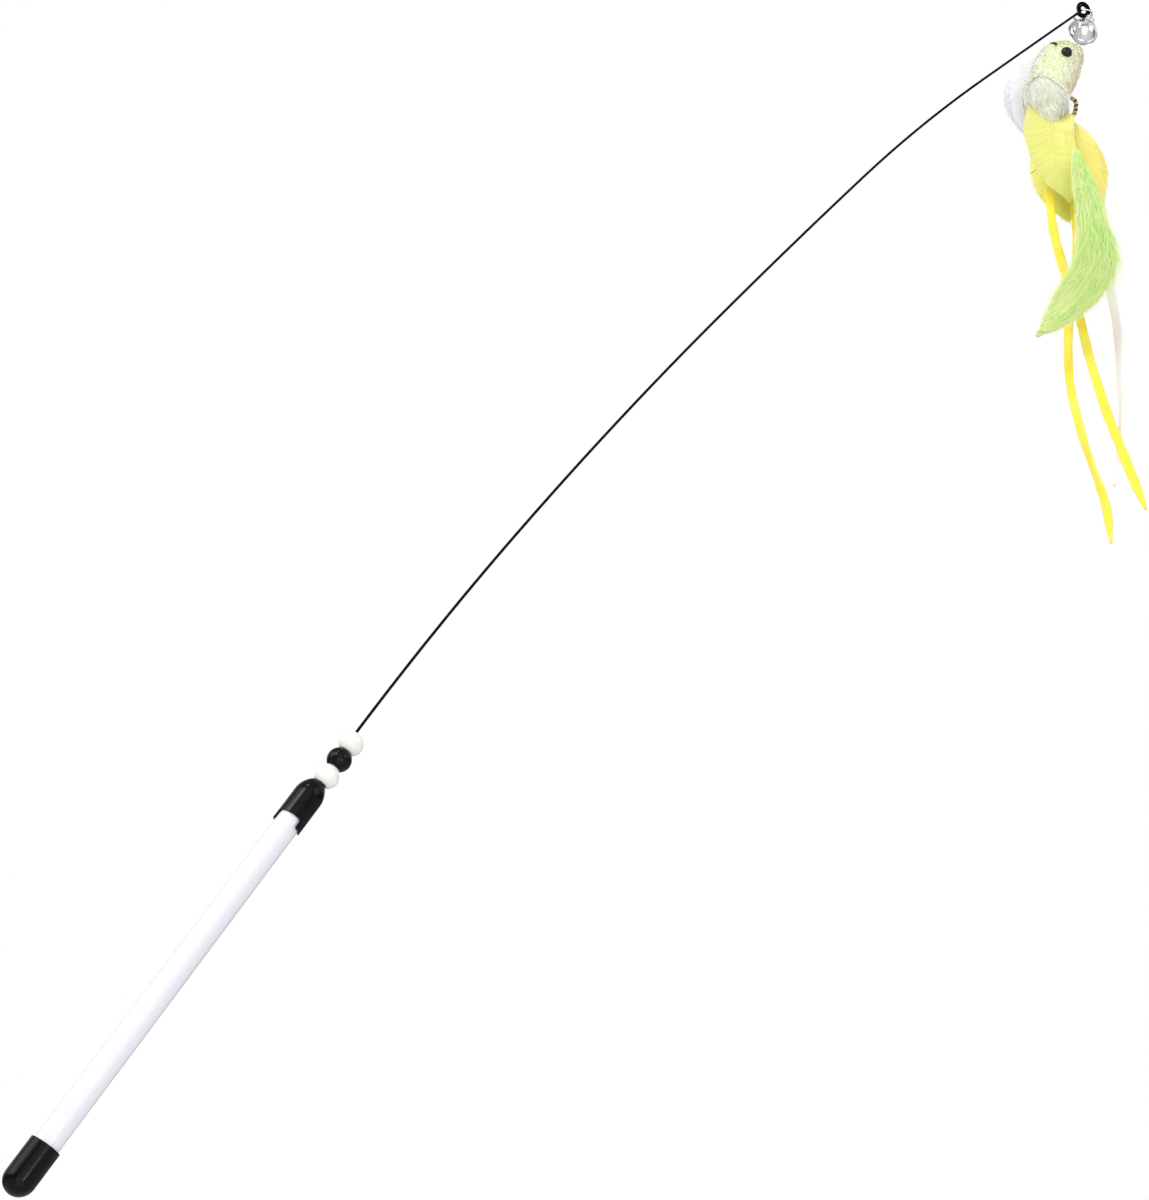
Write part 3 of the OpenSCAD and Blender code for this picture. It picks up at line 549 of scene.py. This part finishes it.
def feather(name, origin, size, places, widths, width, cup, mat, slot, lead=0.0, fuzz=1.0):
    """A shaft with a vane on either side whose rows are barbs, and loose down along the edges.

    places are the shaft's root, bend and tip in shares of size, widths the vane's along it, cup how far it
    bows, lead how far the shaft starts before its root, and fuzz how much down there is and how long.
    """
    places = origin + size * np.array(places)
    s = np.linspace(-lead, 1, SHAFT_POINTS)[:, None]
    p = (1 - s) ** 2 * places[0] + 2 * s * (1 - s) * places[1] + s ** 2 * places[2]
    t, u, w = frames(p)
    table = np.interp(s[:, 0], np.linspace(-lead, 1, len(widths)), widths)[:, None]
    quill = tube(name + "_quill", p, np.linspace(0.26, 0.08, SHAFT_POINTS), M[mat], 8, 0.75)
    dress(quill, "toy", slot)
    rows, barb_points, slant = 170, 9, 0.14
    f = np.linspace(0, 1, barb_points)
    pts, faces, tones = [], [], []
    for sg in (-1, 1):
        base = np.linspace(0.02, 0.985, rows)
        wander = np.convolve(rng.normal(0, 0.02, rows), np.ones(15) / 15, "same")
        x = base[:, None] + (slant * (1 - 0.35 * base) + wander)[:, None] * f[None] ** 0.8
        over = np.clip(x - 1, 0, None)
        c, uu, ww, tt = (along_shaft(arr, x) for arr in (p, u, w, t))
        vane_w = along_shaft(table, x)[..., 0]
        reach = f[None] * (1 + rng.normal(0, 0.01, rows) + 0.02 * np.sin(base * 21 + sg))[:, None]
        lift = cup * vane_w * (1 - reach ** 2) + 0.5 * np.sin(base * 9 + 2 * sg)[:, None] * f ** 2
        k = len(pts) * rows * barb_points
        out = (sg * (vane_w * width / 2) * reach)[..., None] * uu
        pts.append((c + out + lift[..., None] * ww + (over * size)[..., None] * tt).reshape(-1, 3))
        barb = rng.normal(0, 0.05, rows) + np.convolve(rng.normal(0, 0.16, rows), np.ones(4) / 4, "same")
        tones.append(np.clip(0.66 - 0.32 * x + 0.32 * f[None] ** 3 + barb[:, None], 0, 1).reshape(-1))
        for r in range(rows - 1):
            for q in range(barb_points - 1):
                i = k + r * barb_points + q
                faces.append([i, i + 1, i + barb_points + 1, i + barb_points])
    vane = mesh(name + "_vane", np.concatenate(pts), faces, M[mat], np.concatenate(tones))
    dress(vane, "toy", slot, name)
    # loose down over the vane and along its edges
    n = int(1300 * fuzz)
    x = rng.uniform(0.04, 0.99, n)
    sg = rng.choice([-1, 1], n)
    c, uu, ww, tt = (along_shaft(arr, x) for arr in (p, u, w, t))
    vane_w = along_shaft(table, x)[..., 0]
    reach = rng.uniform(0.3, 0.99, n) ** 0.4
    out = (sg * (vane_w * width / 2) * reach)[:, None] * uu
    root = c + out + (cup * vane_w * (1 - reach ** 2))[:, None] * ww
    d = unit(sg[:, None] * uu * 0.6 + tt * 0.8 + ww * rng.normal(0, 0.2, n)[:, None])
    g = np.linspace(0, 1, 5)[None, :, None]
    long = rng.uniform(0.8, 2.0, n) * fuzz
    lines = root[:, None] + long[:, None, None] * (g * d[:, None] + 0.35 * g ** 2 * tt[:, None])
    half = 0.06 * np.array([1, 0.9, 0.7, 0.5, 0.1])[None] * np.ones((n, 1))
    edge = ribbons(name + "_down", lines, half, unit(np.cross(d, ww)), np.full((n, 5), 0.75), M[mat])
    dress(edge, "toy", slot)


FRONT_W = [0.8, 0.93, 0.98, 1, 1, 1, 0.98, 0.94, 0.86, 0.55]
LONG_W = [0.05, 0.3, 0.55, 0.74, 0.86, 0.88, 0.8, 0.62, 0.36, 0.03]
WHITE_W = [0.85, 0.92, 0.95, 0.97, 0.97, 0.95, 0.86, 0.68, 0.42, 0.03]
feather("front_feather", TUFT_END, FEATHER_L,
        [[-0.02, -0.05, 0.07], [-0.21, -0.18, -0.4], [0.02, -0.14, -0.93]],
        FRONT_W, FEATHER_W, 2.3, "pale", "pale_yellow_feather", lead=0.2)
feather("back_feather", TUFT_END, FEATHER_L,
        [[-0.02, 0.05, 0.07], [-0.1, 0.18, -0.43], [0.02, 0.13, -0.97]],
        LONG_W, FEATHER_W, -2.3, "olive", "olive_feather")
feather("side_feather", TUFT_END, FEATHER_L,
        [[0.04, -0.02, 0.07], [0.28, -0.04, -0.42], [0.1, 0.02, -1.12]],
        LONG_W, FEATHER_W, -1.15, "deep", "deep_yellow_feather")
feather("far_feather", TUFT_END, FEATHER_L,
        [[0.03, 0.11, 0.07], [0.32, 0.24, -0.5], [0.12, 0.19, -1.02]],
        LONG_W, FEATHER_W, -2.3, "deep", "pale_yellow_feather")
feather("white_feather", NOSE, BODY_L,
        [[-0.14, 0.12, -0.06], [-0.62, 0.3, -0.12], [-0.47, 0.25, -0.84]],
        WHITE_W, FEATHER_W * 0.82, -2.3, "down", "white_down", lead=0.1, fuzz=1.3)

# Plume: fine wavy strands that fan out from a quill and flow down. Its rows are the line's places from the
# tuft's end in shares of the plume's length, and its half width in shares of the plume's
PLUME = v([0.05, -0.075, -0.01, 0.03], [0.046, -0.1, -0.12, 0.035], [0.032, -0.11, -0.24, 0.07],
          [0.028, -0.12, -0.36, 0.18], [0.03, -0.13, -0.48, 0.3], [0.035, -0.13, -0.6, 0.36],
          [0.038, -0.13, -0.72, 0.4], [0.035, -0.13, -0.84, 0.5], [0.01, -0.13, -0.96, 0.56],
          [-0.045, -0.13, -1.07, 0.56], [-0.12, -0.13, -1.17, 0.44], [-0.2, -0.13, -1.26, 0.24],
          [-0.25, -0.13, -1.31, 0.03])
QUILL_POINTS = 105
table = smooth_line(PLUME, 10)
p = TUFT_END + PLUME_L * table[:, :3]
hw = PLUME_W * table[:, 3]
t, u, w = frames(p)
quill = tube("plume_quill", p[:QUILL_POINTS], np.linspace(0.3, 0.1, QUILL_POINTS), M["deep"], 8, 0.6)
dress(quill, "plume", "lime_plume", "green_plume")


def at_plume(arr, x):
    """Values of arr, one for each point of the plume's line, at shares x of the way."""
    x = np.clip(x, 0, 0.9999) * (len(p) - 1)
    i = x.astype(int)
    g = x - i
    if arr.ndim == 2:
        g = g[..., None]
    return arr[i] * (1 - g) + arr[i + 1] * g


def unevenness(q, size, seed):
    """A slow unevenness through space, from -1 to 1."""
    waves = [(1.0, v(1, 0.3, 0.7)), (1.7, v(-0.4, 1, 0.5)), (2.3, v(0.6, -0.5, 1)), (3.1, v(-0.8, 0.2, 0.9))]
    return sum(np.sin(q @ unit(way) / size * k + k * seed) for k, way in waves) / 4


def plume_down(name, n, clumps, first, run, start, reach, thin, curl, gather):
    """Down in clumps: strands leave all through the plume's depth, flare out, curl and flow to the tip.

    They start after the share first of the way and run for the share run. start and reach are how far out
    they begin and end, thin their half width, curl their waves, and gather how much a clump draws together.
    """
    f = np.linspace(0, 1, 9)
    own = rng.integers(0, clumps, n)
    clump_at = first + (1.0 - first) * rng.random(clumps) ** 0.85
    clump_round = rng.uniform(0, 2 * math.pi, clumps)
    clump_out = rng.uniform(0.5, 1.0, clumps)
    clump_tone = rng.normal(0, 0.14, clumps)
    draw = (1 - gather * f ** 1.5)[None]
    root = np.clip(clump_at[own] + rng.normal(0, 0.022, n), first, 0.99)
    length = run * rng.uniform(0.5, 1.3, n)
    x = root[:, None] + length[:, None] * f
    beyond = np.clip(x - 1, 0, None) * PLUME_L * 0.12
    phi = clump_round[own][:, None] + rng.normal(0, 0.55, n)[:, None] * draw
    phi = phi + rng.normal(0, 0.35, n)[:, None] * f
    inner = start * rng.random(n) ** 0.6
    outer = np.clip(clump_out[own][:, None] * reach + rng.normal(0, 0.12, n)[:, None] * draw, 0.1, None)
    r = at_plume(hw, x) * (inner[:, None] + (outer - inner[:, None]).clip(0) * f ** 0.8)
    c, uu, ww, tt = (at_plume(arr, x) for arr in (p, u, w, t))
    turn, pace = rng.uniform(0, 6.3, (2, n, 1)), rng.uniform(5, 11, (2, n, 1))
    sway = curl * f[None] ** 0.8 * (np.sin(turn + pace * f) - np.sin(turn))
    across, deep = r * np.cos(phi) + sway[0], 0.45 * r * np.sin(phi) + sway[1]
    lines = c + across[..., None] * uu + deep[..., None] * ww + beyond[..., None] * tt
    taper = np.array([0.8, 1, 1, 1, 0.95, 0.85, 0.7, 0.45, 0.1])[None]
    half = thin * taper * rng.uniform(0.7, 1.2, n)[:, None]
    facing = unit(np.cross(tt[:, 4], rng.normal(0, 0.6, (n, 3)) + v(-0.3, -0.9, -0.6)))
    edge = np.abs(r * np.cos(phi)) / np.maximum(at_plume(hw, x), 0.5)
    tone = 0.32 + clump_tone[own][:, None] + 0.2 * unevenness(lines, 4, 1.3) + 0.22 * edge ** 2
    tone = tone + 0.08 * f[None] + rng.normal(0, 0.06, n)[:, None] + 0.45 * np.clip(x - 0.62, 0, 1)
    dress(ribbons(name, lines, half, facing, np.clip(tone, 0, 1), M["lime"]), "plume", "lime_plume")


plume_down("plume_body", 6500, 120, 0.2, 0.2, 0.2, 0.75, 0.14, 0.4, 0.4)
plume_down("plume_fluff", 17500, 480, 0.2, 0.1, 0.85, 0.98, 0.075, 0.55, 0.5)
plume_down("plume_wisps", 4200, 110, 0.3, 0.15, 0.6, 1.35, 0.06, 0.5, 0.9)

# Floor, world and lights
FLOOR_HALF, FLOOR_Z = 6000, -1500
corners = [(-1, -1), (1, -1), (1, 1), (-1, 1)]
corners = [[x * FLOOR_HALF, y * FLOOR_HALF, FLOOR_Z] for x, y in corners]
floor = mesh("floor", corners, [[0, 1, 2, 3]], M["floor"], smooth=False)
world = bpy.data.worlds.new("world")
bpy.context.scene.world = world
world.use_nodes = True
n, link = world.node_tree.nodes, world.node_tree.links.new
# the light on the object
lit = n["Background"]
lit.inputs["Color"].default_value = (1, 1, 1, 1)
lit.inputs["Strength"].default_value = 0.68
# the white that the camera sees
seen = n.new("ShaderNodeBackground")
seen.inputs["Color"].default_value = (1, 1, 1, 1)
seen.inputs["Strength"].default_value = 1.0
# the room that glossy surfaces show: its grey runs with the height, in soft patches
room = n.new("ShaderNodeBackground")
room.inputs["Strength"].default_value = 1.0
co, parts = n.new("ShaderNodeTexCoord"), n.new("ShaderNodeSeparateXYZ")
blot = n.new("ShaderNodeTexNoise")
blot.inputs["Scale"].default_value = 1.6
level = n.new("ShaderNodeMath")
level.operation = "MULTIPLY_ADD"
level.inputs[1].default_value = 0.35
shade = n.new("ShaderNodeValToRGB")
e = shade.color_ramp.elements
while len(e) < 5:
    e.new(0.5)
for k, (at, g) in enumerate([(0.0, 0.5), (0.22, 0.07), (0.42, 0.16), (0.62, 0.85), (1.0, 0.4)]):
    e[k].position, e[k].color = at, (g, g * 0.99, g, 1)
ray = n.new("ShaderNodeLightPath")
both = n.new("ShaderNodeMath")
both.operation = "MAXIMUM"
shiny, open_view = n.new("ShaderNodeMixShader"), n.new("ShaderNodeMixShader")
for out, into in [
        (co.outputs["Generated"], parts.inputs[0]), (co.outputs["Generated"], blot.inputs["Vector"]),
        (blot.outputs["Fac"], level.inputs[0]), (parts.outputs["Z"], level.inputs[2]),
        (level.outputs[0], shade.inputs["Fac"]), (shade.outputs["Color"], room.inputs["Color"]),
        (ray.outputs["Is Camera Ray"], both.inputs[0]), (ray.outputs["Is Transmission Ray"], both.inputs[1]),
        (ray.outputs["Is Glossy Ray"], shiny.inputs[0]), (lit.outputs[0], shiny.inputs[1]),
        (room.outputs[0], shiny.inputs[2]), (both.outputs[0], open_view.inputs[0]),
        (shiny.outputs[0], open_view.inputs[1]), (seen.outputs[0], open_view.inputs[2]),
        (open_view.outputs[0], n["World Output"].inputs["Surface"])]:
    link(out, into)


def lamp(name, place, target, size, power):
    """A square lamp at a place, turned to a target; metres and watts."""
    d = bpy.data.lights.new(name, "AREA")
    d.shape, d.size, d.energy = "SQUARE", size, power
    o = bpy.data.objects.new(name, d)
    bpy.context.collection.objects.link(o)
    o.location = place
    way = unit(np.array(place) - np.array(target))
    o.rotation_euler = (math.acos(way[2]), 0, math.atan2(way[0], -way[1]))


lamp("key", (-0.5, -1.2, 0.9), (0.2, 0, 0.25), 0.5, 6)
lamp("front", (0.5, -1.5, 0.0), (0.3, 0, 0.35), 1.4, 4.5)
lamp("below", (0.35, -1.1, -0.8), (0.35, 0, 0.4), 1.4, 3.7)
lamp("left", (-0.8, -0.6, 0.7), (0.38, 0, 0.45), 0.8, 5)
lamp("side", (1.5, -0.7, 0.5), (0.3, 0, 0.3), 0.8, 3)
lamp("back", (0.1, 1.3, 1.1), (0.3, 0, 0.35), 1.0, 4)
lamp("spark_high", (-0.08, -0.66, 1.1), (0.1, 0, 0.15), 0.08, 1.0)
lamp("spark_low", (0.5, -0.66, -0.34), (0.1, 0, 0.1), 0.07, 0.7)
